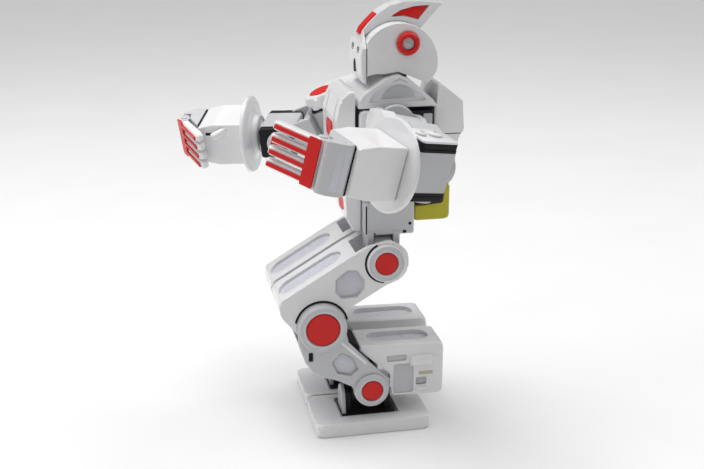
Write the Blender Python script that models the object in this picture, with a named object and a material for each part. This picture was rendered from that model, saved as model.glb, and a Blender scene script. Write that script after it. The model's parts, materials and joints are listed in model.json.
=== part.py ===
"""Walking humanoid robot, a hobby kit about 340 mm tall, in metres, +Z up, facing -Y, its left side at +X.

Dimensions are named in millimetres and turned to metres when a mesh is made. The left leg and left arm are laid
out once; the right ones are the same pieces mirrored in X, the arms with their own joint angles.
"""
import bpy
import bmesh
from math import sin, cos, tan, radians, pi, atan2
from mathutils import Matrix, Vector

for ob in list(bpy.data.objects):
    bpy.data.objects.remove(ob, do_unlink=True)

MM = 0.001

# legs (left leg; Y, Z of the three pitch axes)
HIP = (2.0, 143.0)
KNEE = (-50.0, 93.0)
ANKLE = (-10.0, 36.0)
LEG_X = 25.5                   # middle of the leg
THIGH_X = (7.0, 44.0)          # at the knee tongue
THIGH_IN = 2.6                 # inner face of the wide part above the knee
SHANK_X = (2.6, 48.4)
CALF_X = (9.0, 44.0)
FOOT_X = (1.5, 55.5)
ROLL_Z = 150.0                 # hip roll axis height
FOOT_ROLL_Z = 24.0             # ankle roll axis height
R_KNEE, R_ANKLE = 20.0, 14.5

# arms (left arm): shoulder pitch centre, upper-arm length
SHOULDER = (50.5, 10.0, 253.0)
UPPER = 82.0
# joint angles as built, and how far the finger comb leans back from square to the palm
LEFT_ARM = dict(p=13.0, r=84.0, f=69.0, t=89.0, lean=-24.0)
RIGHT_ARM = dict(p=64.0, r=24.0, f=20.5, t=-5.0, lean=38.0)
FOREARM_END = -71.5                            # far end of the forearm block, from the elbow axis
STRIPE = 1.35                                  # half width of a finger stripe
FINGERS = [-13.0 + 8.7 * k for k in range(4)]  # middle of each finger across the hand
KNUCKLE_Z = -88.0                              # knuckle roll of the hand, from the elbow axis

# head
HEAD_C = (16.0, 297.0)         # Y, Z of the dome centre
HEAD_R = 30.0
HEAD_X = 24.0
NECK_Y = 15.0                  # neck turning axis
EAR = (22.0, 312.0)            # Y, Z of the ear discs
EAR_R, EAR_HOLE, EAR_POCKET = 8.8, 5.0, 9.6
FACE_BACK = -9.6               # joint face between face plate and dome
FIN_X = 9.0                    # half width of the crest fin
SWITCH_Z = (251.5, 257.5)

WHITE = (0.86, 0.86, 0.87)
LIGHT = (0.62, 0.63, 0.65)
GREY = (0.42, 0.43, 0.45)
DARK = (0.045, 0.047, 0.052)
RED = (0.62, 0.02, 0.02)
YELLOW = (0.45, 0.40, 0.02)


def paint(ob, rgb, rough=0.3, metal=0.0):
    m = bpy.data.materials.new(ob.name)
    m.use_nodes = True
    b = m.node_tree.nodes["Principled BSDF"]
    b.inputs["Base Color"].default_value = (*rgb, 1.0)
    b.inputs["Roughness"].default_value = rough
    b.inputs["Metallic"].default_value = metal
    ob.data.materials.clear()
    ob.data.materials.append(m)
    return ob


def from_bm(name, bm):
    me = bpy.data.meshes.new(name)
    bmesh.ops.recalc_face_normals(bm, faces=bm.faces)
    bm.to_mesh(me)
    bm.free()
    ob = bpy.data.objects.new(name, me)
    bpy.context.scene.collection.objects.link(ob)
    return ob


def frame_of(axis):
    """Places a flat outline: the extrusion runs along `axis`, the outline uses the other two in order."""
    if axis == "X":
        return lambda u, v, w: (w, u, v)
    if axis == "Y":
        return lambda u, v, w: (u, w, v)
    return lambda u, v, w: (u, v, w)


def prism(name, pts, lo, hi, axis="X", edge=0.0, seg=1):
    """Outline extruded from lo to hi; the rim edges of both ends are rounded by `edge`."""
    put = frame_of(axis)
    bm = bmesh.new()
    a = [bm.verts.new([c * MM for c in put(u, v, lo)]) for u, v in pts]
    b = [bm.verts.new([c * MM for c in put(u, v, hi)]) for u, v in pts]
    n = len(pts)
    fa = bm.faces.new(a)
    fb = bm.faces.new(b[::-1])
    for i in range(n):
        bm.faces.new((a[i], b[i], b[(i + 1) % n], a[(i + 1) % n]))
    if edge:
        rim = list(fa.edges) + list(fb.edges)
        bmesh.ops.bevel(bm, geom=rim, offset=edge * MM, segments=seg, affect="EDGES", profile=0.5,
                        clamp_overlap=True)
        bmesh.ops.remove_doubles(bm, verts=bm.verts, dist=1e-6)
    return from_bm(name, bm)


def arc(cu, cv, r, a0, a1, n):
    """Points on a circle from angle a0 to a1 in degrees, ends included."""
    return [(cu + r * cos(radians(a0 + (a1 - a0) * i / n)), cv + r * sin(radians(a0 + (a1 - a0) * i / n)))
            for i in range(n + 1)]


def soft(pts, r, n=2):
    """A closed outline with every corner rounded; r is one radius or one per corner."""
    out = []
    k = len(pts)
    for i in range(k):
        ri = r[i] if isinstance(r, (list, tuple)) else r
        p0, p, p1 = Vector(pts[i - 1]), Vector(pts[i]), Vector(pts[(i + 1) % k])
        d0, d1 = (p0 - p), (p1 - p)
        l0, l1 = d0.length, d1.length
        d0.normalize()
        d1.normalize()
        ang = d0.angle(d1)
        if ri <= 0 or ang > 3.1:
            out.append(tuple(p))
            continue
        t = min(ri / tan(ang / 2), 0.46 * l0, 0.46 * l1)
        a, b = p + d0 * t, p + d1 * t
        for j in range(n + 1):
            s = j / n
            q = a * (1 - s) ** 2 + p * 2 * s * (1 - s) + b * s ** 2
            out.append((q.x, q.y))
    return out


def rect(u0, u1, v0, v1, r=0.0, n=2):
    c = [(u0, v0), (u1, v0), (u1, v1), (u0, v1)]
    return soft(c, r, n) if r else c


def box(name, x, y, z, r=0.0, edge=0.0, axis="X", n=2):
    """Block from its three (low, high) pairs; r rounds the corners seen along `axis`, edge the two rims."""
    if axis == "X":
        return prism(name, rect(*y, *z, r, n), *x, "X", edge)
    if axis == "Y":
        return prism(name, rect(*x, *z, r, n), *y, "Y", edge)
    return prism(name, rect(*x, *y, r, n), *z, "Z", edge)


def rod(name, axis, cu, cv, r, lo, hi, n=28, edge=0.0, seg=1):
    return prism(name, [(cu + r * cos(2 * pi * i / n), cv + r * sin(2 * pi * i / n)) for i in range(n)],
                 lo, hi, axis, edge, seg)


def lathe(name, prof, n=36):
    """Turned solid about Z from a (radius, z) outline that starts and ends on the axis."""
    bm = bmesh.new()
    rings = []
    for r, z in prof:
        if r <= 1e-6:
            rings.append([bm.verts.new((0, 0, z * MM))])
        else:
            rings.append([bm.verts.new((r * MM * cos(2 * pi * i / n), r * MM * sin(2 * pi * i / n), z * MM))
                          for i in range(n)])
    for a, b in zip(rings, rings[1:]):
        for i in range(n):
            j = (i + 1) % n
            if len(a) == 1:
                bm.faces.new((a[0], b[j], b[i]))
            elif len(b) == 1:
                bm.faces.new((a[i], a[j], b[0]))
            else:
                bm.faces.new((a[i], a[j], b[j], b[i]))
    return from_bm(name, bm)


def boolean(ob, tool, op):
    m = ob.modifiers.new("b", "BOOLEAN")
    m.object = tool
    m.operation = op
    m.solver = "EXACT"
    dg = bpy.context.evaluated_depsgraph_get()
    me = bpy.data.meshes.new_from_object(ob.evaluated_get(dg))
    ob.modifiers.clear()
    ob.data = me
    bpy.data.objects.remove(tool, do_unlink=True)
    return ob


def cut(ob, *tools):
    for t in tools:
        boolean(ob, t, "DIFFERENCE")
    return ob


def join(ob, *tools):
    for t in tools:
        boolean(ob, t, "UNION")
    return ob


def move(ob, m):
    ob.data.transform(m)
    return ob


def mirror(ob):
    ob.data.transform(Matrix.Diagonal((-1, 1, 1, 1)))
    ob.data.flip_normals()
    return ob


def done(ob, rgb, rough=0.3, metal=0.0, pivot=None, angle=32.0):
    """Clean, shade and colour one finished piece; pivot (mm) becomes its origin."""
    bm = bmesh.new()
    bm.from_mesh(ob.data)
    bmesh.ops.remove_doubles(bm, verts=bm.verts, dist=2e-6)
    bmesh.ops.dissolve_degenerate(bm, edges=bm.edges, dist=2e-6)
    for f in bm.faces:
        f.smooth = True
    for e in bm.edges:
        e.smooth = len(e.link_faces) == 2 and e.calc_face_angle(0.0) < radians(angle)
    bm.to_mesh(ob.data)
    bm.free()
    paint(ob, rgb, rough, metal)
    if pivot is not None:
        v = Vector(pivot) * MM
        ob.data.transform(Matrix.Translation(-v))
        ob.location = v
    return ob


def capsule(name, p0, p1, w, lo, hi, axis="X", n=8):
    """Long slot shape between two outline points, width w."""
    a = atan2(p1[1] - p0[1], p1[0] - p0[0]) * 180 / pi
    pts = arc(*p1, w / 2, a - 90, a + 90, n) + arc(*p0, w / 2, a + 90, a + 270, n)
    return prism(name, pts, lo, hi, axis)


SIDES = (("left", False), ("right", True))


def put(ob, flip, rgb, rough=0.3, metal=0.0, pivot=None):
    """Left piece finished as it is; right piece mirrored first, its pivot too."""
    if flip:
        mirror(ob)
        if pivot is not None:
            pivot = (-pivot[0], pivot[1], pivot[2])
    return done(ob, rgb, rough, metal, pivot)


# ---------------------------------------------------------------- legs
def leg(side, flip):
    hy, hz = HIP
    ky, kz = KNEE
    ay, az = ANKLE
    # hip block: turns on a fore-aft pin between the two pelvis tabs and carries the cross pin of the thigh
    hip = prism("hip_block_" + side,
                arc(LEG_X, ROLL_Z, 10.5, 0, 180, 12) + [(LEG_X - 13.5, 146), (LEG_X - 13.5, 132),
                                                        (LEG_X - 11, 129.5), (LEG_X + 11, 129.5),
                                                        (LEG_X + 13.5, 132), (LEG_X + 13.5, 146)],
                -5.5, 9.5, "Y", 0.8)
    put(hip, flip, LIGHT, 0.35, pivot=(LEG_X, 2, ROLL_Z))

    # thigh: sloping hollow-ended box, fork at the hip, tongue at the knee
    th = soft([(-13, 156.5), (-28, 148.5), (-84, 115), (-82, 103), (-73, 92),
               (-62, 77), (-50, 74.5), (-37, 79), (-31, 104.5), (2, 124), (20, 131), (20.5, 152), (6, 161)],
              [9, 3, 5, 3, 6, 8, 8, 8, 8, 9, 12, 12, 9], 3)
    thigh = prism("thigh_shell_" + side, th, THIGH_IN, THIGH_X[1], "X", 1.6)
    cut(thigh,
        # inner face stepped back around the knee, where the shank's cheek turns
        prism("c", arc(ky, kz, 22.0, 20, 165, 16) + [(-110, 98.7), (-110, 50), (20, 50), (20, 110)],
              THIGH_IN - 5, THIGH_X[0]),
        # room for the hip block and pelvis tabs
        prism("c", arc(hy, hz, 25.5, 108, 320, 20) + [(60, 95), (60, 190), (-6, 190)],
              THIGH_X[0] + 4.2, THIGH_X[1] - 4.2),
        # eight-sided pocket in the outer cheek, with a smaller one inside
        prism("c", soft([(-39, 121), (-34, 115), (-21, 115.5), (-15, 122), (-15, 130), (-20, 138),
                         (-29, 139), (-39, 131)], 1.5, 2), THIGH_X[1] - 3, 60))
    # long pocket along the sloping front face
    ang = atan2(148.5 - 115, -28 + 84)
    m = Matrix.Translation(Vector((LEG_X, -56, 131.8)) * MM) @ Matrix.Rotation(ang, 4, "X")
    cut(thigh, move(capsule("c", (-2, -18), (-2, 18), 23, -3.0, 10, "Z", 12), m))
    # plain round bosses around both pins
    join(thigh, rod("c", "X", hy, hz, 15.4, THIGH_X[1] - 0.6, THIGH_X[1] + 3.2, 32, 1.0))
    cut(thigh, rod("c", "X", hy, hz, 9.6, THIGH_X[1] + 0.6, THIGH_X[1] + 9, 28),
        rod("c", "X", ky, kz, 19.2, THIGH_X[1] - 0.5, THIGH_X[1] + 9, 32))
    put(thigh, flip, WHITE, 0.25, pivot=(LEG_X, *HIP))
    cap = rod("hip_cap_" + side, "X", hy, hz, 9.2, THIGH_X[1] + 0.9, THIGH_X[1] + 3.6, 28, 0.7)
    put(cap, flip, RED, 0.3, pivot=(LEG_X, *HIP))

    # shank: fork around the knee, fork around the ankle, closed in between
    sh = (arc(ky, kz, R_KNEE, 35, 188, 12)
          + [(-68.5, 78), (-64, 64), (-58, 55), (-50, 50), (-38, 46.5), (-25.5, 41)]
          + arc(ay, az, R_ANKLE, 180, 372, 12) + [(5.5, 43), (-8, 56), (-30, 79)])
    shank = prism("shank_frame_" + side, sh, *SHANK_X, "X", 1.0)
    cut(shank,
        prism("c", arc(ky, kz, 21.5, -8, 215, 20) + [(-75, 78), (-80, 140), (10, 140), (10, 90)],
              SHANK_X[0] + 4.0, SHANK_X[1] - 4.0),
        rod("c", "X", ky, kz, 23.0, SHANK_X[0] + 4.0, SHANK_X[1] - 4.0, 32),
        rod("c", "X", ay, az, 23.5, SHANK_X[0] + 4.0, SHANK_X[1] - 4.0, 32),
        prism("c", soft([(-43, 62), (-38, 52.5), (-27, 49.5), (-21, 55), (-25, 66), (-35, 71.5)], 1.5, 2),
              SHANK_X[1] - 2.4, 70),
        box("c", (SHANK_X[1] - 1.6, 70), (-61.5, -57.5), (65, 73), 1.0))
    join(shank, rod("c", "X", ky, kz, 19.6, SHANK_X[1] - 0.6, SHANK_X[1] + 3.2, 32, 1.2),
         rod("c", "X", ay, az, 14.0, SHANK_X[1] - 0.6, SHANK_X[1] + 2.8, 28, 1.0))
    cut(shank, rod("c", "X", ky, kz, 13.8, SHANK_X[1] + 0.6, SHANK_X[1] + 9, 32),
        rod("c", "X", ay, az, 9.0, SHANK_X[1] + 0.4, SHANK_X[1] + 9, 28))
    put(shank, flip, LIGHT, 0.3, pivot=(LEG_X, *KNEE))
    put(rod("knee_cap_" + side, "X", ky, kz, 13.4, SHANK_X[1] + 0.9, SHANK_X[1] + 3.7, 32, 0.8),
        flip, RED, 0.3, pivot=(LEG_X, *KNEE))
    put(rod("ankle_cap_" + side, "X", ay, az, 8.6, SHANK_X[1] + 0.7, SHANK_X[1] + 3.2, 28, 0.7),
        flip, RED, 0.3, pivot=(LEG_X, *KNEE))

    # calf box: rounded case behind the shank, held to its back face; the outer wall reaches lower
    cb = soft([(51, 71.5), (-19, 73), (-19, 69), (-9.5, 60.5), (2.5, 49.5), (9.5, 46), (14, 41), (14, 31.0),
               (51, 31.0)], [5, 5, 1, 3, 2, 3, 2, 3, 5])
    calf = prism("calf_box_" + side, cb, *CALF_X, "X", 1.6)
    join(calf, prism("c", soft([(50.5, 60), (-2, 55.2), (6.8, 46.5), (6.2, 36), (8.5, 27), (50.5, 26.0)],
                               [2, 1, 2, 3, 3, 4]), CALF_X[1] - 4.6, CALF_X[1] + 0.35, "X", 0.5))
    cut(calf, capsule("c", (CALF_X[0] + 17.5, 0), (CALF_X[0] + 17.5, 32), 20, 68.2, 90, "Z"),
        box("c", (CALF_X[1] - 1.6, 60), (3.5, 20), (57.0, 62.5), 1.2),
        box("c", (CALF_X[1] - 1.0, 60), (9.0, 26), (28.5, 54.5), 2.0),
        box("c", (CALF_X[1] - 2.2, 60), (28, 37), (34.5, 41.5), 1.5))
    join(calf, rod("c", "Y", CALF_X[1] - 1.6, 56.5, 5.2, 22.5, 42, 20, 1.2))
    put(calf, flip, WHITE, 0.25, pivot=(LEG_X, *KNEE))

    # ankle block: barrel on the ankle pin, with the fore-aft pin housing of the foot under it
    ank = rod("ankle_block_" + side, "X", ay, az, 11.5, LEG_X - 18.3, LEG_X + 18.3, 32, 0.8)
    join(ank, prism("c", arc(LEG_X, FOOT_ROLL_Z, 8.0, 180, 360, 12) + [(LEG_X + 8, 33), (LEG_X - 8, 33)],
                    -23.5, 3.5, "Y"))
    put(ank, flip, DARK, 0.45, pivot=(LEG_X, *ANKLE))

    # foot: thick plate with rounded edges, a sunk well and two uprights that hold the roll pin
    foot = prism("foot_plate_" + side, rect(*FOOT_X, -56, 38, 5, 4), 0, 11.0, "Z", 1.8, 2)
    cut(foot, box("c", (LEG_X - 17, LEG_X + 17), (-34, 14), (8.0, 30), 2.0, axis="Z"))
    put(foot, flip, WHITE, 0.25, pivot=(LEG_X, ay, FOOT_ROLL_Z))
    yoke = box("foot_yoke_" + side, (LEG_X - 15.5, LEG_X + 15.5), (-32, 12), (8.35, 11.5), 1.5, axis="Z")
    for y0 in (-29.0, 4.0):
        join(yoke, prism("c", arc(LEG_X, FOOT_ROLL_Z, 6.5, 0, 180, 12) + [(LEG_X - 9, 9.5), (LEG_X + 9, 9.5)],
                         y0, y0 + 5.0, "Y"))
    put(yoke, flip, DARK, 0.45, pivot=(LEG_X, ay, FOOT_ROLL_Z))


for s, fl in SIDES:
    leg(s, fl)


# ---------------------------------------------------------------- arms
def arm(side, flip, p, r, f, t, lean):
    """Arm pieces drawn hanging straight down, then turned by pitch, roll, elbow, forearm and finger angles."""
    def rot(a, ax):
        return Matrix.Rotation(radians(a), 4, ax)
    m_sh = Matrix.Translation(Vector(SHOULDER) * MM) @ rot(-p, "X")
    m_up = m_sh @ rot(-r, "Y")
    m_el = m_up @ Matrix.Translation((0, 0, -UPPER * MM)) @ rot(-f, "X")
    m_fa = m_el @ rot(t, "Z")

    def place(ob, m, rgb, rough=0.3):
        move(ob, m)
        put(ob, flip, rgb, rough, pivot=m.translation / MM)
        return ob

    # shoulder yoke: boss on the body side, two cheeks that hold the fore-aft roll pin
    yoke = rod("shoulder_yoke_" + side, "X", 0, 0, 15.0, -14.6, -10.4, 28, 0.8)
    for y0 in (-18.0, 13.5):
        join(yoke, prism("c", [(-12.5, -10), (-12.5, 10)] + arc(0, 0, 10, 90, -90, 12), y0, y0 + 4.5, "Y"))
    join(yoke, box("c", (-14.0, -10.8), (-17.5, 17.5), (-9.9, 9.9)))
    place(yoke, m_sh, LIGHT, 0.35)

    # upper arm: dark actuator strip with a rounded head on the roll pin
    ua = prism("upper_arm_core_" + side, arc(0, 0, 9.5, 0, 180, 12) + [(-9.5, -52), (9.5, -52)], -13, 13, "Y")
    # broad back of the arm below the roll pin
    join(ua, prism("c", [(-10.6, -14.3), (14, -14.3), (18.2, -18.5), (18.2, -30), (15, -47.6), (-10.6, -47.6)],
                   -11.7, 11.7, "X", 1.0))
    # fork that reaches round the elbow actuator
    join(ua, box("c", (-21.2, 21.2), (-11, 11), (-56, -49), 2.0))
    for x0 in (-21.2, 17.4):
        join(ua, prism("c", [(-11, -54), (11, -54)] + arc(0, -UPPER, 11, 0, -180, 12), x0, x0 + 3.8, "X"))
    place(ua, m_up, LIGHT, 0.35)

    # white cover over the front of the upper arm, its thin hood reaching past the roll pin
    cov = prism("upper_arm_cover_" + side,
                soft([(-7, 11), (-11.5, -1), (-16.6, -19), (-16.6, -38), (-9.5, -49.8), (9.5, -49.8),
                      (16.6, -38), (16.6, -19), (11.5, -1), (7, 11)], [5, 8, 8, 9, 5, 5, 9, 8, 8, 5], 3),
                -24.0, -13.4, "Y", 2.0)
    cut(cov, box("c", (-30, 30), (-18.6, -10), (-12.6, 30)), box("c", (-12.5, 12.5), (-17, -10), (-60, -13)),
        capsule("c", (-1.5, -33), (1.5, -38), 17.4, -40, -22.6, "Y"))
    place(cov, m_up, WHITE, 0.25)
    cap = capsule("upper_arm_cap_" + side, (-1.5, -33), (1.5, -38), 16.4, -24.4, -22.9, "Y")
    place(cap, m_up, RED, 0.3)

    # elbow actuator: grey case standing across the arm, dark end plates
    el = box("elbow_case_" + side, (-16.8, 16.8), (-13, 13), (-17.5, 13), 2.0, 1.0)
    join(el, rod("c", "X", 0, 0, 8.5, -17.05, 17.05, 32))
    join(el, rod("c", "Z", 0, 0, 10.5, -21.1, -16, 32))
    # idler disc on the back, on the forearm turning axis
    join(el, rod("c", "Z", 0, 0, 12.0, 12, 18.5, 32, 1.5))
    place(el, m_el, GREY, 0.4)

    # cuff guard: trumpet-shaped disc on the forearm turning pin
    prof = [(0, -21.5), (14, -21.5), (15, -22.5), (17, -25.5), (22, -27.7), (31.8, -28.5), (33, -29.5), (33, -31.1),
            (31.8, -31.9), (24, -32.3), (0, -32.3)]
    guard = lathe("arm_guard_" + side, [(rr, z) for rr, z in prof][::-1], 40)
    place(guard, m_fa, WHITE, 0.25)

    # forearm: tapered block, rounded, with a thumb rod on the palm side
    fore = prism("forearm_shell_" + side,
                 soft([(-19, -32.7), (19, -32.7), (19, -57), (16.5, FOREARM_END), (-16.5, FOREARM_END), (-19, -57)],
                      [1, 1, 10, 2, 2, 10]), -19, 19, "X", 5.5, 3)
    a, b = Vector((-16.0, -14.0, -46.0)), Vector((-26.0, -11.0, -57.5))
    thumb = rod("c", "Z", 0, 0, 3.3, 0, (b - a).length, 16, 1.6, 2)
    move(thumb, Matrix.Translation(a * MM) @ (b - a).to_track_quat("Z", "Y").to_matrix().to_4x4())
    join(fore, thumb)
    place(fore, m_fa, WHITE, 0.25)

    # hand: palm block and a knuckle roll that carries four fingers
    kz = KNUCKLE_Z
    palm = prism("palm_block_" + side,
                 soft([(-16, FOREARM_END - 0.4), (15, FOREARM_END - 0.4), (16, -77.5), (13.5, -84.5),
                       (9.5, kz - 2.5), (5.4, kz - 2.5), (5.4, kz + 5.6), (-2, kz + 5.6), (-13, -74.0)],
                      [1, 2, 4, 4, 3, 1, 0, 1, 1]),
                 -18, 18, "Y", 2.2, 2)
    place(palm, m_fa, LIGHT, 0.3)
    m_hand = (m_fa @ Matrix.Translation((0, 0, kz * MM)) @ rot(lean, "Y"))
    fing = rod("finger_comb_" + side, "Y", 0, 0, 4.5, -17.4, 17.4, 24, 0.8)
    for y in FINGERS:
        join(fing, prism("c", soft([(1.4, -4.8), (1.4, 1.5), (-33, 1.8), (-37.5, 2.2), (-38.5, -2.5), (-36, -4.8)],
                                   [0, 0, 4, 2.5, 2.5, 3]), y - 3.1, y + 3.1, "Y", 1.1))
    place(fing, m_hand, WHITE, 0.25)
    # red comb face laid over knuckle and fingers
    comb = box("finger_trim_" + side, (-6.5, 3.0), (-16.6, 16.6), (-6.2, -4.95), 0.8, axis="Z")
    for y in FINGERS:
        join(comb, box("c", (-35, -5), (y - STRIPE, y + STRIPE), (-6.2, -4.95), 0.0, axis="Z"))
    place(comb, m_hand, RED, 0.3)


arm("left", False, **LEFT_ARM)
arm("right", True, **RIGHT_ARM)


# ---------------------------------------------------------------- body
# pelvis: grey block with four tabs for the two fore-aft hip pins
pel = prism("pelvis_frame", soft([(-13, 162), (27, 162), (27, 189.6), (-13, 189.6)], 2.0), -34, 34, "X", 1.5)
for sx in (-1, 1):
    cut(pel, rod("c", "Y", sx * LEG_X, ROLL_Z, 15.0, -40, 60, 32))
    for y0, y1 in ((-11.0, -6.0), (10.0, 15.0)):
        join(pel, prism("c", [(sx * (LEG_X - 9), 166), (sx * (LEG_X - 9), 150)] +
                        [(sx * u, v) for u, v in arc(LEG_X, ROLL_Z, 9, 180, 360, 12)] +
                        [(sx * (LEG_X + 9), 166)], y0, y1, "Y"))
done(pel, LIGHT, 0.35)

# torso frame: dark inner chassis
fr = box("torso_frame", (-26, 26), (-19, 43), (200.0, 263.6), 3.0, 1.0)
join(fr, box("c", (-20, 20), (-9, 24), (190.0, 202), 2.0, 0.8))
for sx in (-1, 1):
    join(fr, box("c", (min(sx * 24, sx * 34.6), max(sx * 24, sx * 34.6)), (16, 41), (237.5, 261)))
    cut(fr, rod("c", "X", 31, 254, 6.0, min(sx * 34.2, sx * 40), max(sx * 34.2, sx * 40), 24))
done(fr, DARK, 0.45)

# front covers
chest = prism("chest_cover", soft([(-19.4, 200.3), (-27, 202), (-33.5, 222), (-34.5, 255), (-31, 270), (-25, 277),
                                   (-19.4, 277)], [2, 4, 8, 10, 6, 3, 2]), -29.5, 29.5, "X", 3.0, 2)
cut(chest, *[box("c", (sx * 17 - 1.0, sx * 17 + 1.0), (-60, -30.5), (210, 300)) for sx in (-1, 1)],
    box("c", (-11.4, 11.4), (-60, -30.9), (236.5, 250.5), 3.0, axis="Y"))
done(chest, WHITE, 0.25)
done(box("chest_badge", (-11, 11), (-35.2, -31.3), (237, 250), 3.0, 0.5, "Y"), RED, 0.3)
bel = prism("belly_cover", soft([(-13.4, 163), (-20, 163), (-25, 176), (-26.5, 195), (-22, 199.5), (-13.4, 199.5)],
                                [1, 4, 8, 5, 2, 1]), -22, 22, "X", 2.5, 2)
cut(bel, move(capsule("c", (-4, 0), (4, 0), 15.2, -4, 20, "Z"),
              Matrix.Translation(Vector((0, -24.2, 184)) * MM) @ Matrix.Rotation(radians(84), 4, "X")))
done(bel, WHITE, 0.25)
bb = capsule("belly_badge", (-4, 0), (4, 0), 14.2, -3.2, 0.9, "Z")
move(bb, Matrix.Translation(Vector((0, -24.2, 184)) * MM) @ Matrix.Rotation(radians(84), 4, "X"))
done(bb, RED, 0.3)

# collar: domed cover over the shoulders with a sunk crescent on each side
col = prism("shoulder_collar", soft([(-18, 264), (-16.8, 270), (-13, 275), (-5.5, 279.6), (3.5, 286.2),
                                     (14, 289), (24, 284.6), (33.5, 276), (41, 269.5), (45, 264)],
                                    [1, 6, 8, 8, 8, 6, 8, 8, 5, 1], 3), -31, 31, "X", 3.0, 2)
for sx in (-1, 1):
    cut(col, prism("c", soft([(-10.5, 268.5), (37, 268.5), (30.5, 275), (23, 280.2), (14, 283.4), (5, 282.4), (-3.5, 278)],
                          [1.5, 1.5, 5, 6, 6, 6, 5]),
                   min(sx * 28.8, sx * 60), max(sx * 28.8, sx * 60)))
cut(col, rod("c", "Z", 0, NECK_Y, 13.0, 274, 300, 28))
done(col, WHITE, 0.25)
done(rod("neck_servo", "Z", 0, NECK_Y, 12.4, 274.35, 286.8, 28, 0.6), DARK, 0.45, pivot=(0, NECK_Y, 280))

for s, fl in SIDES:
    pan = box("side_panel_" + s, (26.4, 32.0), (-17, 14), (201.5, 262.5), 4.0, 1.2)
    cut(pan, box("c", (31.2, 40), (-12, 10), (207, 240), 3.0))
    put(pan, fl, WHITE, 0.3)

# backpack and battery
bp = prism("backpack", soft([(43.5, 212), (61, 212), (64, 238), (68, 243), (67, 266), (50, 279.5), (46.5, 279.5),
                             (46.5, 263.2), (43.5, 263.2)], [1, 2, 2, 2, 3, 3, 1, 1, 1]), -26, 26, "X", 2.0, 2)
cut(bp, box("c", (-7.4, 7.4), (60, 90), (SWITCH_Z[0] - 0.5, SWITCH_Z[1] + 0.5), 1.5, axis="Y"))
done(bp, WHITE, 0.25)
done(box("power_switch", (-6.9, -0.5), (60.35, 68.2), SWITCH_Z, 1.2, 0.6, "Y"), RED, 0.4,
     pivot=(-3.7, 64, sum(SWITCH_Z) / 2))
bat = prism("battery_tray", soft([(31, 168), (60, 168), (60, 196), (55.5, 196), (55.5, 181), (31, 181)],
                                 [2, 4, 1, 1, 2, 2]), -19, 19, "X", 1.0)
done(box("battery_pack", (-21, 21), (28.5, 54), (182.0, 199.6), 2.0, 1.0), DARK, 0.5)
join(bat, box("c", (-15, 15), (55.0, 60), (194, 211.6), 1.0))
done(bat, YELLOW, 0.45)

# ---------------------------------------------------------------- head
hy, hz = HEAD_C
dome = arc(hy, hz, HEAD_R, 180, -22, 24)
und = [(38.5, 279.5), (27, 288.0), (15, 292.6), (3, 291.2), (-12, 286.5)]
shell = prism("head_shell", dome + und, -HEAD_X, HEAD_X, "X", 2.2, 2)
for sx in (-1, 1):
    cut(shell, rod("c", "X", *EAR, EAR_POCKET, min(sx * 23.0, sx * 40), max(sx * 23.0, sx * 40), 28))
cut(shell, box("c", (-40, 40), (-60, FACE_BACK + 0.4), (270, 335)))
NECK = (0, NECK_Y, hz)
done(shell, WHITE, 0.3, pivot=NECK)
for s, fl in SIDES:
    ear = rod("ear_ring_" + s, "X", *EAR, EAR_R, 23.35, 28.2, 28, 1.4)
    cut(ear, rod("c", "X", *EAR, EAR_HOLE, 24.6, 40, 28))
    put(ear, fl, RED, 0.3, pivot=NECK)

# face and crest: a band up the front of the head that sweeps back into a fin
band = [(FACE_BACK, 281), (-12.4, 282.5), (-14.2, 291), (-14.4, 303), (-12.6, 313), (FACE_BACK, 321)]
face = prism("face_plate", band, -HEAD_X + 1, HEAD_X - 1, "X", 2.0, 2)
for sx in (-1, 1):
    # eye pocket, and the upper corner sloped off down from the fin
    cut(face, box("c", (sx * 10 - 3.4, sx * 10 + 3.4), (-40, -11.6), (303.5, 308.5), 1.5, axis="Y"),
        prism("c", [(sx * (FIN_X + 0.8), 322), (sx * 30, 322), (sx * 30, 308), (sx * 23.2, 308)],
              -40, 0, "Y"))
cut(face, box("c", (-1.6, 1.6), (-40, -12.6), (288, 298), 1.0, axis="Y"))
done(face, WHITE, 0.25, pivot=NECK)
fin = prism("crest_fin", arc(hy, hz, HEAD_R + 0.9, 142, 50, 9)
            + soft([(36.7, 321.8), (40, 325.5), (47, 333.5), (54, 340), (36, 341.4), (21, 341), (11, 338.5),
                    (3, 333.5), (-5, 326), (-9.2, 320.9)], [0, 3, 4, 0.6, 4, 6, 6, 6, 3, 0]),
            -FIN_X, FIN_X, "X", 2.0, 2)
for sx in (-1, 1):
    cut(fin, prism("c", soft([(11, 330), (20, 335.4), (31, 338), (43, 338.6), (38, 332.5), (34, 327.5), (22, 330.6)],
                             0.8, 2), min(sx * (FIN_X - 1), sx * 20), max(sx * (FIN_X - 1), sx * 20)))
done(fin, WHITE, 0.25, pivot=NECK)

# the middle of the bounding box goes over the origin
pts = [ob.location + v.co for ob in bpy.data.objects for v in ob.data.vertices]
shift = Vector([-(min(p[k] for p in pts) + max(p[k] for p in pts)) / 2 for k in (0, 1)] + [0])
for ob in bpy.data.objects:
    ob.location += shift
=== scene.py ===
"""Looks of the walking humanoid robot: materials, fine trim, screws, floor, light and camera."""
import json
import bpy
import bmesh
from math import sin, cos, radians, pi, atan2
from mathutils import Matrix, Vector


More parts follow.
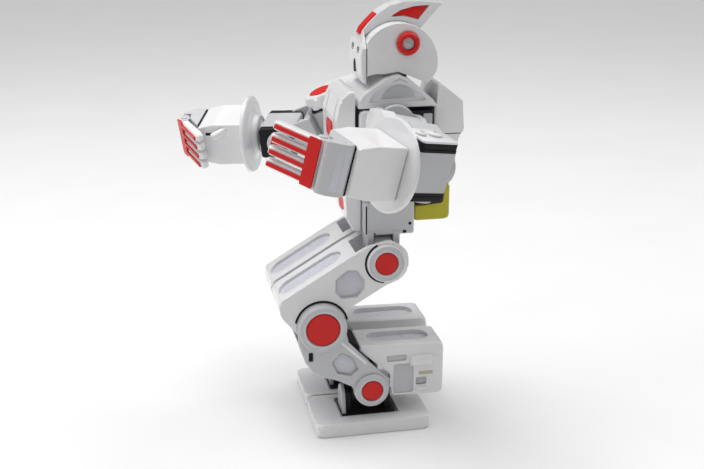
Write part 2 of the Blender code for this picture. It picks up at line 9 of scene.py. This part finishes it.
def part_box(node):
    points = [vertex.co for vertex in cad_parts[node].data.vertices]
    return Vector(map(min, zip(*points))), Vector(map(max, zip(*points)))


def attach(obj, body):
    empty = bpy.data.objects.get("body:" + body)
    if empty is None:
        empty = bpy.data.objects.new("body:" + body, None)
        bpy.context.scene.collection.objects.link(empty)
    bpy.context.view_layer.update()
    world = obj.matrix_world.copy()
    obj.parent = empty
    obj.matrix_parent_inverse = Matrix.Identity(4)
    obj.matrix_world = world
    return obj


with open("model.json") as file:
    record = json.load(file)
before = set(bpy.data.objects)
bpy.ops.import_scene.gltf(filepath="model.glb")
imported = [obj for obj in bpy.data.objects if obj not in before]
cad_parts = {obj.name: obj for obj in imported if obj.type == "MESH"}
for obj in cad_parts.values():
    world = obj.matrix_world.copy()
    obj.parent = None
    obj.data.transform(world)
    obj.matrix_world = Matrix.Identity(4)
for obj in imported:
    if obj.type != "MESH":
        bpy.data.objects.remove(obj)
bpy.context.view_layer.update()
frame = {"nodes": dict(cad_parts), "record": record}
NODES = frame["nodes"]
MM = 0.001

SIDES = (("left", 1), ("right", -1))       # name of a side, sign of its X


# ---------------------------------------------------------------- materials
def new_material(name, rgb, rough, metal=0.0, spec=0.5, coat=0.0):
    """Plain material; returns it with its node tree and its shader."""
    m = bpy.data.materials.new(name)
    m.use_nodes = True
    b = m.node_tree.nodes["Principled BSDF"]
    b.inputs["Base Color"].default_value = (*rgb, 1)
    b.inputs["Roughness"].default_value = rough
    b.inputs["Metallic"].default_value = metal
    b.inputs["Specular IOR Level"].default_value = spec
    b.inputs["Coat Weight"].default_value = coat
    b.inputs["Coat Roughness"].default_value = 0.12
    return m, m.node_tree, b


def noise(nt, scale, detail=3.0, rough=0.5):
    """Noise texture on object coordinates."""
    tc = nt.nodes.new("ShaderNodeTexCoord")
    n = nt.nodes.new("ShaderNodeTexNoise")
    n.inputs["Scale"].default_value = scale
    n.inputs["Detail"].default_value = detail
    n.inputs["Roughness"].default_value = rough
    nt.links.new(tc.outputs["Object"], n.inputs["Vector"])
    return n


def ramp(nt, src, stops):
    """Colour ramp fed by `src`, with (position, colour) stops."""
    r = nt.nodes.new("ShaderNodeValToRGB")
    nt.links.new(src, r.inputs["Fac"])
    el = r.color_ramp.elements
    el[0].position, el[0].color = stops[0][0], (*stops[0][1], 1)
    el[1].position, el[1].color = stops[-1][0], (*stops[-1][1], 1)
    for pos, col in stops[1:-1]:
        e = el.new(pos)
        e.color = (*col, 1)
    return r


CLOUD, SMEAR, GRAIN = 38.0, 95.0, 2600.0         # noise scales of colour, gloss and grain, per metre


def plastic(name, rgb, rough, spread=0.06, vary=0.025, grain=0.012, coat=0.0, spec=0.5):
    """Moulded plastic: slight cloudiness in the colour, uneven gloss, fine spark-eroded grain."""
    m, nt, b = new_material(name, rgb, rough, 0.0, spec, coat)
    cloud = noise(nt, CLOUD, 4.0)
    lo = tuple(max(0.0, c * (1 - vary)) for c in rgb)
    hi = tuple(min(1.0, c * (1 + vary)) for c in rgb)
    colour = ramp(nt, cloud.outputs["Fac"], [(0.3, lo), (0.7, hi)])
    nt.links.new(colour.outputs["Color"], b.inputs["Base Color"])
    smear = noise(nt, SMEAR, 5.0, 0.6)
    mr = nt.nodes.new("ShaderNodeMapRange")
    mr.inputs["From Min"].default_value = 0.3
    mr.inputs["From Max"].default_value = 0.7
    mr.inputs["To Min"].default_value = max(0.02, rough - spread)
    mr.inputs["To Max"].default_value = rough + spread
    nt.links.new(smear.outputs["Fac"], mr.inputs["Value"])
    nt.links.new(mr.outputs["Result"], b.inputs["Roughness"])
    fine = noise(nt, GRAIN, 2.0)
    bump = nt.nodes.new("ShaderNodeBump")
    bump.inputs["Strength"].default_value = grain
    bump.inputs["Distance"].default_value = 0.0002
    nt.links.new(fine.outputs["Fac"], bump.inputs["Height"])
    nt.links.new(bump.outputs["Normal"], b.inputs["Normal"])
    return m


def steel(name, rgb=(0.55, 0.55, 0.57), rough=0.28):
    """Turned steel of the screws, with uneven gloss."""
    m, nt, b = new_material(name, rgb, rough, 1.0)
    n = noise(nt, 900.0, 3.0)
    mr = nt.nodes.new("ShaderNodeMapRange")
    mr.inputs["To Min"].default_value = rough - 0.08
    mr.inputs["To Max"].default_value = rough + 0.12
    nt.links.new(n.outputs["Fac"], mr.inputs["Value"])
    nt.links.new(mr.outputs["Result"], b.inputs["Roughness"])
    return m


MAT = {
    "white_plastic": plastic("white_gloss", (0.80, 0.80, 0.81), 0.22, coat=0.25),
    "light_grey_plastic": plastic("light_grey_satin", (0.56, 0.565, 0.58), 0.32, grain=0.05),
    "grey_case": plastic("case_grey", (0.50, 0.505, 0.52), 0.38, grain=0.08),
    "black_servo": plastic("servo_black", (0.012, 0.013, 0.015), 0.50, vary=0.15, grain=0.16, spec=0.3),
    "red_plastic": plastic("signal_red", (0.66, 0.012, 0.010), 0.36, coat=0.0, spec=0.3),
    "yellow_plastic": plastic("battery_yellow", (0.50, 0.45, 0.015), 0.40, grain=0.08),
}
DETAIL_MAT = {
    "white": MAT["white_plastic"], "light": MAT["light_grey_plastic"], "case": MAT["grey_case"],
    "red": MAT["red_plastic"], "steel": steel("screw_steel"),
    # black of real seams, slots and joints, also painted as the shade in the gaps beside the thigh ring bosses
    "black": plastic("seam_and_painted_shade_black", (0.008, 0.008, 0.010), 0.6, vary=0.2, grain=0.1, spec=0.25),
    "lens": plastic("eye_lens", (0.010, 0.010, 0.014), 0.06, spread=0.03, vary=0.2, grain=0.0, coat=1.0),
    "ring": plastic("ring_grey", (0.62, 0.63, 0.65), 0.26, grain=0.03, coat=0.15),
    "band": plastic("band_lavender", (0.60, 0.60, 0.66), 0.30, grain=0.03),
    "patch": plastic("patch_straw", (0.52, 0.50, 0.36), 0.40, grain=0.05),
}

SOLID_CREASE, TRIM_CREASE = radians(32), radians(35)      # edges sharper than this stay sharp
SLOT_OF = {s["node"]: s["material_slot"] for s in frame["record"]["subparts"]}
for name, ob in NODES.items():
    ob.data.materials.clear()
    ob.data.materials.append(MAT[SLOT_OF[name]])
    ob.data.set_sharp_from_angle(angle=SOLID_CREASE)


# ---------------------------------------------------------------- places
PELVIS_FRONT = 13.0                        # the pelvis starts this far before the robot's own origin, mm
pel_lo, pel_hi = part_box("pelvis_frame")
SHIFT = Vector(((pel_lo.x + pel_hi.x) / 2, pel_lo.y + PELVIS_FRONT * MM, 0))     # origin, in the row frame


def at(x, y, z):
    """A point of the robot's own frame, in mm, as a place in the row frame."""
    return Vector((x, y, z)) * MM + SHIFT


# ---------------------------------------------------------------- stage, light, camera
FLOOR_SIZE, FLOOR_DROP = 60.0, 0.0004      # metres; the drop keeps the floor clear of the soles
FLOOR_RGB, FLOOR_LO, FLOOR_HI = (0.86,) * 3, (0.85,) * 3, (0.87,) * 3


def link(ob):
    bpy.context.scene.collection.objects.link(ob)
    return ob


def staged_plane(name, size, loc):
    me = bpy.data.meshes.new(name)
    s = size / 2
    me.from_pydata([(-s, -s, 0), (s, -s, 0), (s, s, 0), (-s, s, 0)], [], [(0, 1, 2, 3)])
    ob = bpy.data.objects.new(name, me)
    ob.location = loc
    return link(ob)


floor_mat, nt, b = new_material("floor_pale", FLOOR_RGB, 0.55, 0.0, 0.25)
cloud = noise(nt, 9.0, 2.0)
colour = ramp(nt, cloud.outputs["Fac"], [(0.3, FLOOR_LO), (0.7, FLOOR_HI)])
nt.links.new(colour.outputs["Color"], b.inputs["Base Color"])
floor = staged_plane("floor", FLOOR_SIZE, (0, 0, -FLOOR_DROP))
floor.data.materials.append(floor_mat)

# sky that brightens from the horizon up, by the Z of the direction
SKY = [(0.0, (0.04,) * 3), (0.45, (0.22,) * 3), (1.0, (1.0,) * 3)]
SKY_STRENGTH = 1.2
bpy.context.scene.view_settings.view_transform = "Standard"
world = bpy.data.worlds.new("studio")
bpy.context.scene.world = world
world.use_nodes = True
wn = world.node_tree
bg = wn.nodes["Background"]
tc = wn.nodes.new("ShaderNodeTexCoord")
sep = wn.nodes.new("ShaderNodeSeparateXYZ")
wn.links.new(tc.outputs["Generated"], sep.inputs["Vector"])
wn.links.new(ramp(wn, sep.outputs["Z"], SKY).outputs["Color"], bg.inputs["Color"])
bg.inputs["Strength"].default_value = SKY_STRENGTH


def area_light(name, loc, aim, size, watts):
    """Soft rectangular light at `loc`, turned to `aim`."""
    d = bpy.data.lights.new(name, "AREA")
    d.shape = "RECTANGLE"
    d.size, d.size_y = size
    d.energy = watts
    ob = bpy.data.objects.new(name, d)
    ob.location = loc
    ob.rotation_euler = (Vector(aim) - Vector(loc)).to_track_quat("-Z", "Y").to_euler()
    link(ob)


MID = at(0, 0, 170)
area_light("key_top", MID + Vector((-0.35, -0.35, 1.5)), MID, (0.8, 0.8), 12.5)
area_light("fill_front", MID + Vector((-0.1, -1.6, 0.75)), MID, (1.0, 0.8), 5.5)
area_light("rim_back", MID + Vector((-0.2, 1.1, 1.1)), MID, (0.8, 0.8), 4)

# viewing angle in degrees, distance in metres, focal length and sensor width in mm
AZ, EL, DIST, LENS, SENSOR = 78.4, 18.5, 0.940, 58.8, 36.0
CLIP = (0.01, 100)
TARGET = at(0, -16.4, 153.3)
cam_data = bpy.data.cameras.new("camera")
cam_data.lens, cam_data.sensor_width = LENS, SENSOR
cam_data.clip_start, cam_data.clip_end = CLIP
cam = bpy.data.objects.new("camera", cam_data)
az, el = radians(AZ), radians(EL)
back = Vector((sin(az) * cos(el), -cos(az) * cos(el), sin(el)))
cam.location = TARGET + back * DIST
cam.rotation_euler = (-back).to_track_quat("-Z", "Y").to_euler()
bpy.context.scene.camera = link(cam)

# ---------------------------------------------------------------- small parts, gathered per body and material
GROUPS = {}
IDENT = Matrix.Identity(4)
AXES = {"X": lambda u, v, w: (w, u, v), "Y": lambda u, v, w: (u, w, v), "Z": lambda u, v, w: (u, v, w)}


def group(body, mat):
    """The mesh that gathers the trim of one body in one material."""
    return GROUPS.setdefault((body, mat), bmesh.new())


def arc(cu, cv, r, a0, a1, n):
    """Points on a circle from angle a0 to a1, in degrees."""
    return [(cu + r * cos(radians(a0 + (a1 - a0) * i / n)), cv + r * sin(radians(a0 + (a1 - a0) * i / n)))
            for i in range(n + 1)]


def rounded(u0, u1, v0, v1, r, n=4):
    """Rectangle outline with corners of radius r."""
    return (arc(u1 - r, v1 - r, r, 0, 90, n) + arc(u0 + r, v1 - r, r, 90, 180, n)
            + arc(u0 + r, v0 + r, r, 180, 270, n) + arc(u1 - r, v0 + r, r, 270, 360, n))


def shrink(pts, d):
    """Closed outline moved inward by d, corner by corner."""
    area = sum(a[0] * b[1] - b[0] * a[1] for a, b in zip(pts, pts[1:] + pts[:1]))
    s = 1 if area > 0 else -1
    out = []
    for i in range(len(pts)):
        p0, p, p1 = Vector(pts[i - 1]), Vector(pts[i]), Vector(pts[(i + 1) % len(pts)])
        n0 = Vector((-(p - p0).y, (p - p0).x)).normalized() * s
        n1 = Vector((-(p1 - p).y, (p1 - p).x)).normalized() * s
        n = (n0 + n1).normalized()
        out.append(tuple(p + n * d / max(0.35, n.dot(n0))))
    return out


def prism(body, mat, pts, lo, hi, axis="X", m=IDENT, edge=0.0):
    """Outline pushed from lo to hi along `axis`, with its two rims bevelled by `edge`."""
    bm, put = group(body, mat), AXES[axis]
    a = [bm.verts.new(m @ Vector(put(u, v, lo))) for u, v in pts]
    b = [bm.verts.new(m @ Vector(put(u, v, hi))) for u, v in pts]
    fa, fb = bm.faces.new(a), bm.faces.new(b[::-1])
    k = len(pts)
    for i in range(k):
        bm.faces.new((a[i], b[i], b[(i + 1) % k], a[(i + 1) % k]))
    if edge:
        bmesh.ops.bevel(bm, geom=list(fa.edges) + list(fb.edges), offset=edge, segments=2, affect="EDGES",
                        profile=0.5, clamp_overlap=True)


def plate(body, mat, x, y, z, r=0.8, edge=0.15, axis="X", m=IDENT):
    """Thin block with rounded corners seen along `axis`, given as three (low, high) pairs."""
    if axis == "X":
        prism(body, mat, rounded(*y, *z, r), *x, "X", m, edge)
    elif axis == "Y":
        prism(body, mat, rounded(*x, *z, r), *y, "Y", m, edge)
    else:
        prism(body, mat, rounded(*x, *y, r), *z, "Z", m, edge)


def disc(body, mat, axis, cu, cv, r, lo, hi, m=IDENT, n=36, edge=0.25):
    """Round plate centred on (cu, cv), from lo to hi along `axis`."""
    prism(body, mat, arc(cu, cv, r, 0, 360 - 360 / n, n - 1), lo, hi, axis, m, edge)


def ring(body, mat, axis, cu, cv, r0, r1, lo, hi, m=IDENT, n=44, a0=0.0, a1=360.0):
    """Flat ring, or a part of one, with a chamfered top at the `hi` side."""
    bm, put = group(body, mat), AXES[axis]
    c = min(0.25, (r1 - r0) / 3) * (1 if hi > lo else -1)
    prof = [(r0, lo), (r0, hi - c), (r0 + abs(c), hi), (r1 - abs(c), hi), (r1, hi - c), (r1, lo)]
    whole = abs(a1 - a0) >= 359.9
    loops = []
    for i in range(n if whole else n + 1):
        t = radians(a0 + (a1 - a0) * i / n)
        loops.append([bm.verts.new(m @ Vector(put(cu + r * cos(t), cv + r * sin(t), w))) for r, w in prof])
    k = len(prof)
    for i in range(n):
        p, q = loops[i], loops[(i + 1) % len(loops)]
        for j in range(k):
            bm.faces.new((p[j], p[(j + 1) % k], q[(j + 1) % k], q[j]))
    if not whole:
        bm.faces.new(loops[0])
        bm.faces.new(loops[-1][::-1])


def screw(body, pos, normal, r=1.5, h=0.7, m=IDENT):
    """Button-head screw with a sunk socket; pos lies on the surface."""
    bm = group(body, "steel")
    t = m @ Matrix.Translation(Vector(pos)) @ Vector(normal).to_track_quat("Z", "Y").to_matrix().to_4x4()
    prof = [(r, -0.15), (r, h * 0.45), (r * 0.82, h * 0.85), (r * 0.5, h), (r * 0.42, h * 0.25)]
    k = 12
    around = [(cos(2 * pi * i / k), sin(2 * pi * i / k)) for i in range(k)]
    loops = [[bm.verts.new(t @ Vector((rr * c, rr * s, z))) for c, s in around] for rr, z in prof]
    bm.faces.new(loops[0][::-1])
    bm.faces.new(loops[-1])
    for a, b in zip(loops, loops[1:]):
        for i in range(k):
            bm.faces.new((a[i], a[(i + 1) % k], b[(i + 1) % k], b[i]))


def screws(body, spots, normal, r=1.5, h=0.7, m=IDENT):
    for p in spots:
        screw(body, p, normal, r, h, m)


# ---------------------------------------------------------------- legs
# the three pitch axes of a leg (Y, Z), the middle of the leg and the outer faces of its pieces, all in mm
HIP, KNEE, ANKLE, LEG_X = (2.0, 143.0), (-50.0, 93.0), (-10.0, 36.0), 25.5
THIGH_OUT, SHANK_OUT, CALF_OUT = 44.0, 48.4, 44.35


def leg_trim(side, sx):
    m = Matrix.Diagonal((sx, 1, 1, 1))
    th, shk, ft, hp = "thigh_" + side, "shank_" + side, "foot_" + side, "hip_" + side
    # thigh: black part-rings beside the two ring bosses, painted as the shade in the gaps round them; bezel,
    # inlays in the side and front pockets
    ring(th, "black", "X", *KNEE, 20.15, 21.9, THIGH_OUT - 0.3, THIGH_OUT + 0.3, m, 30, 12, 168)
    ring(th, "black", "X", *HIP, 15.5, 17.2, THIGH_OUT - 0.3, THIGH_OUT + 0.22, m, 26, 115, 265)
    ring(th, "ring", "X", *HIP, 10.0, 11.6, THIGH_OUT + 3.0, THIGH_OUT + 3.6, m, 40)
    ring(th, "light", "X", *HIP, 11.7, 14.5, THIGH_OUT + 3.0, THIGH_OUT + 3.35, m, 40)
    pocket = [(-37.6, 121.3), (-33.2, 116.1), (-21.6, 116.6), (-16.2, 122.6), (-16.2, 129.6), (-20.7, 136.9),
              (-28.6, 137.8), (-37.6, 130.4)]
    prism(th, "band", pocket, THIGH_OUT - 3.2, THIGH_OUT - 2.5, "X", m, 0.4)
    slope = atan2(148.5 - 115, -28 + 84)
    f = m @ Matrix.Translation((LEG_X, -56, 131.8)) @ Matrix.Rotation(slope, 4, "X")
    plate(th, "band", (-12.6, 8.6), (-28.6, 28.6), (-3.2, -2.2), 10.5, 0.0, "Z", f)
    # rear of the thigh: cross bar between its cheeks
    disc(th, "steel", "X", -41.5, 106.5, 1.5, 8.0, 43.0, m, 14, 0.3)

    # shank: bezels round the discs, inlay in the six-sided pocket, dark slot, rib along the rear edge
    ring(shk, "ring", "X", *KNEE, 14.1, 16.0, SHANK_OUT + 3.0, SHANK_OUT + 3.7, m, 44)
    ring(shk, "ring", "X", *ANKLE, 9.3, 10.9, SHANK_OUT + 2.6, SHANK_OUT + 3.25, m, 36)
    hexa = [(-41.6, 61.9), (-37.3, 53.5), (-28.0, 51.0), (-22.6, 55.8), (-26.0, 65.0), (-34.8, 69.9)]
    prism(shk, "band", hexa, SHANK_OUT - 2.6, SHANK_OUT - 1.9, "X", m, 0.4)
    plate(shk, "black", (SHANK_OUT - 1.9, SHANK_OUT - 1.2), (-61.1, -57.9), (65.4, 72.6), 0.8, 0.1, "X", m)
    rib = [(-36.4, 79.4), (-34.6, 81.2), (-13.6, 60.6), (-15.2, 58.8)]
    prism(shk, "white", rib, SHANK_OUT - 0.2, SHANK_OUT + 0.7, "X", m, 0.3)

    # calf: dark wedge under the knee, inlays of the slot and the two side recesses, patch, bump, top inlay
    wedge = [(-19.35, 72.9), (-25.5, 77.6), (-28.6, 77.9), (-19.35, 68.3)]
    prism(shk, "black", wedge, 11, CALF_OUT - 0.4, "X", m)
    plate(shk, "light", (CALF_OUT - 2.1, CALF_OUT - 1.3), (4.1, 19.4), (57.5, 62.0), 0.8, 0.15, "X", m)
    plate(shk, "patch", (CALF_OUT - 0.1, CALF_OUT + 0.18), (30.2, 42.2), (43.6, 46.6), 0.8, 0.08, "X", m)
    plate(shk, "white", (CALF_OUT - 0.2, CALF_OUT + 0.9), (28.2, 37.2), (29.0, 33.4), 1.4, 0.4, "X", m)
    plate(shk, "case", (CALF_OUT - 2.4, CALF_OUT - 1.6), (28.8, 36.2), (35.2, 40.8), 0.9, 0.1, "X", m)
    plate(shk, "light", (CALF_OUT - 1.2, CALF_OUT - 0.8), (9.7, 25.3), (29.3, 53.7), 1.4, 0.1, "X", m)
    plate(shk, "band", (CALF_OUT - 26.9, CALF_OUT - 8.9), (-8.0, 40.0), (68.0, 68.7), 8.9, 0.0, "Z", m)
    for z in (64.5, 38.0):
        screws(shk, [(16.5, 51.0, z), (36.5, 51.0, z)], (0, 1, 0), 1.3, 0.6, m)

    # hip and ankle actuators: pin heads and case screws
    screws("torso", [(LEG_X, -11.0, 150)], (0, -1, 0), 3.2, 1.1, m)
    screws("torso", [(LEG_X, 15.0, 150)], (0, 1, 0), 3.2, 1.1, m)
    screws(hp, [(LEG_X - 8.5, -5.5, 137), (LEG_X + 8.5, -5.5, 137)], (0, -1, 0), 1.3, 0.6, m)
    screws(hp, [(LEG_X - 8.5, 9.5, 137), (LEG_X + 8.5, 9.5, 137)], (0, 1, 0), 1.3, 0.6, m)
    screws(ft, [(LEG_X, -29.0, 24), (LEG_X, 9.0, 24)], (0, -1, 0), 2.6, 0.9, m)
    # foot: thin frame round the well, grey bracket before the ankle
    for x in (LEG_X - 18.2, LEG_X + 17.0):
        plate(ft, "light", (x, x + 1.2), (-35.2, 15.2), (10.7, 11.25), 0.4, 0.1, "Z", m)
    for y in (-35.2, 14.0):
        plate(ft, "light", (LEG_X - 17.2, LEG_X + 17.2), (y, y + 1.2), (10.7, 11.25), 0.4, 0.1, "Z", m)
    prism(ft, "light", arc(LEG_X + 1.5, 24, 8.5, 0, 180, 14) + [(LEG_X - 9, 11), (LEG_X + 13, 11)],
          -32.2, -29.2, "Y", m, 0.4)
    screws(ft, [(LEG_X + 1.5, -32.2, 25)], (0, -1, 0), 2.2, 0.9, m)


for s, sx in SIDES:
    leg_trim(s, sx)


# ---------------------------------------------------------------- arms
# shoulder centre, length of the upper arm, then heights of the knuckle and the wrist seam from the elbow, in mm
SHOULDER, UPPER, KNUCKLE, HAND = (50.5, 10.0, 253.0), 82.0, -88.0, -71.5
# stored pose in degrees: shoulder pitch and roll, elbow bend, forearm turn, lean of the finger comb
ARM = {"left": (13.0, 84.0, 69.0, 89.0, -24.0), "right": (64.0, 24.0, 20.5, -5.0, 38.0)}


def arm_trim(side, sx):
    p, r, f, t, lean = ARM[side]

    def turn(a, ax):
        return Matrix.Rotation(radians(a), 4, ax)

    base = Matrix.Diagonal((sx, 1, 1, 1)) @ Matrix.Translation(SHOULDER)
    m_sh = base @ turn(-p, "X")
    m_up = m_sh @ turn(-r, "Y")
    m_el = m_up @ Matrix.Translation((0, 0, -UPPER)) @ turn(-f, "X")
    m_fa = m_el @ turn(t, "Z")
    m_hand = m_fa @ Matrix.Translation((0, 0, KNUCKLE)) @ turn(lean, "Y")
    sh, up, el, fa = "shoulder_" + side, "upper_arm_" + side, "elbow_" + side, "forearm_" + side

    # shoulder yoke: roll pin heads and cheek screws
    screws(sh, [(0, -18.0, 0)], (0, -1, 0), 3.6, 1.2, m_sh)
    screws(sh, [(0, 18.0, 0)], (0, 1, 0), 3.6, 1.2, m_sh)
    screws(sh, [(-9.6, 18.0, 6.4), (-9.6, 18.0, -6.4)], (0, 1, 0), 1.2, 0.6, m_sh)

    # upper arm: dark strip under the cover, screws on its back
    plate(up, "black", (-12.1, 12.1), (-13.3, -10.75), (-47.2, -14.6), 0.4, 0.2, "Y", m_up)
    screws(up, [(-8.5, 17.6, -23), (8.5, 17.6, -23)], (0, 1, 0), 1.3, 0.6, m_up)
    # fork cheeks: dark slab on each, white plate with two bosses on one, red disc in a grey ring on the other
    for lo, hi in ((17.15, 21.3), (-21.3, -17.15)):
        plate(up, "black", (lo, hi), (-13.0, 13.0), (-17.4, 13.0), 2.2, 0.3, "X", m_el)
    plate(up, "white", (21.1, 23.0), (-13.0, 13.0), (-17.4, 13.0), 2.6, 0.7, "X", m_el)
    for z, r in ((0.0, 5.6), (-11.5, 4.0)):
        disc(up, "white", "X", 0, z, r, 22.8, 24.8, m_el, 30, 0.9)
        screw(up, (24.8, 0, z), (1, 0, 0), 1.5, 0.6, m_el)
    ring(up, "ring", "X", 0, -UPPER, 7.8, 11.0, -21.1, -23.4, m_up, 40)
    disc(up, "red", "X", 0, -UPPER, 7.5, -23.7, -21.1, m_up, 36, 0.6)

    # elbow case: dark end caps and the idler disc
    for lo, hi in ((14.6, 16.95), (-16.95, -14.6)):
        plate(el, "black", (lo, hi), (-13.25, 13.25), (-17.75, 13.25), 2.2, 0.5, "X", m_el)
    ring(el, "ring", "Z", 0, 0, 6.2, 9.6, 18.3, 19.0, m_el, 36)
    screw(el, (0, 0, 18.5), (0, 0, 1), 2.6, 0.8, m_el)

    # cuff: collar ring where the forearm meets the guard
    ring(fa, "light", "Z", 0, 0, 13.0, 16.2, -21.9, -21.2, m_fa, 40)
    # forearm: slot on the palm side, seam to the hand
    plate(fa, "black", (-19.2, -18.5), (-12.0, -9.4), (-65.0, -55.0), 1.1, 0.1, "X", m_fa)
    plate(fa, "black", (-15.4, 15.4), (-17.6, 17.6), (HAND - 0.5, HAND + 0.1), 1.5, 0.0, "Z", m_fa)
    # hand: tinted side band and knuckle end caps
    band = [(15.8, -74.3), (15.95, -77.5), (13.9, -83.7), (11, -83.7), (11, -74.3)]
    prism(fa, "band", band, -14.5, 14.5, "Y", m_fa, 0.2)
    for y, n in ((17.4, 1), (-17.4, -1)):
        lo, hi = sorted((y - 0.2 * n, y + 0.8 * n))
        disc(fa, "light", "Y", 0, 0, 3.2, lo, hi, m_hand, 24, 0.3)


for s, sx in SIDES:
    arm_trim(s, sx)


# ---------------------------------------------------------------- body
def body_trim(side, sx):
    m = Matrix.Diagonal((sx, 1, 1, 1))
    # pelvis side: dark front seam, two slots at its lower edge and a round hole
    plate("torso", "black", (33.8, 34.12), (-12.4, -11.3), (164.2, 187.0), 0.4, 0.03, "X", m)
    plate("torso", "black", (33.8, 34.12), (-9.5, -4.5), (163.4, 164.8), 0.5, 0.03, "X", m)
    plate("torso", "black", (33.8, 34.12), (17.6, 20.6), (163.6, 166.0), 0.9, 0.03, "X", m)
    disc("torso", "black", "X", 23.4, 171.2, 1.3, 33.8, 34.12, m, 18, 0.03)
    # side panel: tinted inlay
    plate("torso", "band", (31.0, 31.55), (-11.3, 9.3), (207.7, 239.3), 2.4, 0.2, "X", m)
    # shoulder actuator on the frame: two grey blocks and their screws behind the arm
    plate("torso", "case", (25.6, 30.5), (17.5, 30.0), (214, 236.8), 1.4, 0.5, "X", m)
    for z in (217, 234):
        screws("torso", [(30.5, 20.2, z), (30.5, 27.2, z)], (1, 0, 0), 1.2, 0.6, m)
    plate("torso", "case", (34.4, 35.2), (32.6, 39.6), (239.6, 259.4), 1.0, 0.2, "X", m)
    screws("torso", [(34.6, 18.6, 240.6), (34.6, 18.6, 258.2)], (1, 0, 0), 1.4, 0.6, m)
    # collar: grey crescent painted as the shade inside the sunk one, small chevron above it
    moon = arc(14, 266.5, 14.4, 18, 162, 16)
    prism("torso", "light", moon, 28.5, 29.3, "X", m, 0.4)
    chevron = [(8.6, 284.3), (13.8, 286.6), (15.2, 286.6), (20.6, 283.6), (20.0, 283.0), (14.6, 285.2),
               (9.2, 283.6)]
    prism("torso", "case", chevron, 30.6, 31.06, "X", m)
    # chest: dark strips in the two front grooves
    plate("torso", "black", (16.1, 17.9), (-31.0, -30.3), (217, 263), 0.5, 0.0, "Y", m)
    # backpack: screws and side seam
    screws("torso", [(20.5, 67.4, 260.0), (20.5, 67.7, 246.5)], (0, 1, 0.05), 1.6, 0.45, m)
    plate("torso", "black", (25.8, 26.1), (46, 65.4), (240.2, 240.8), 0.25, 0.0, "X", m)
    # battery: end caps and tray screws
    plate("torso", "case", (20.8, 21.4), (31, 51.5), (184.6, 197.2), 1.6, 0.15, "X", m)
    screws("torso", [(14.2, 60.0, 172.6), (14.2, 60.0, 191.0)], (0, 1, 0), 1.4, 0.7, m)
    # head: red flank of the fin, ear hub with its screw, ear disc, eye lens
    flank = [(11, 330), (20, 335.4), (31, 338), (43, 338.6), (38, 332.5), (34, 327.5), (22, 330.6)]
    prism("head", "red", shrink(flank, 0.45), 7.7, 8.65, "X", m, 0.15)
    disc("head", "light", "X", 22, 312, 4.7, 24.2, 26.2, m, 30, 0.5)
    screw("head", (26.2, 22, 312), (1, 0, 0), 1.6, 0.5, m)
    disc("head", "white", "X", 22, 312, 9.5, 22.6, 23.3, m, 36, 0.0)
    plate("head", "lens", (7.0, 13.0), (-14.25, -12.0), (303.9, 308.1), 1.9, 0.35, "Y", m)


for s, sx in SIDES:
    body_trim(s, sx)

# middle line: mouth, crest insert, switch surround
mouth = [(3.2 * cos(2 * pi * i / 28), 292.6 + 5.2 * sin(2 * pi * i / 28)) for i in range(28)]
prism("head", "black", mouth, -14.65, -13.4, "Y", IDENT, 0.1)
insert = [(-12.0, 317.4), (-10.2, 321.6), (-5.5, 326.7), (0.9, 332.9), (1.8, 331.8), (-4.7, 325.6),
          (-9.0, 320.6), (-10.6, 316.8)]
prism("head", "red", insert, -6.2, 6.2, "X", IDENT, 0.12)
ring("torso", "ring", "Y", 0, 254.5, 9.8, 11.0, 66.0, 68.15, IDENT, 40)

# ---------------------------------------------------------------- one object per body and material
to_row = Matrix.Translation(SHIFT) @ Matrix.Scale(MM, 4)
for (body, mat), bm in sorted(GROUPS.items()):
    bmesh.ops.recalc_face_normals(bm, faces=bm.faces)
    bm.transform(to_row)
    me = bpy.data.meshes.new("trim_%s_%s" % (body, mat))
    bm.to_mesh(me)
    bm.free()
    me.materials.append(DETAIL_MAT[mat])
    for poly in me.polygons:
        poly.use_smooth = True
    me.set_sharp_from_angle(angle=TRIM_CREASE)
    ob = link(bpy.data.objects.new(me.name, me))
    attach(ob, body)
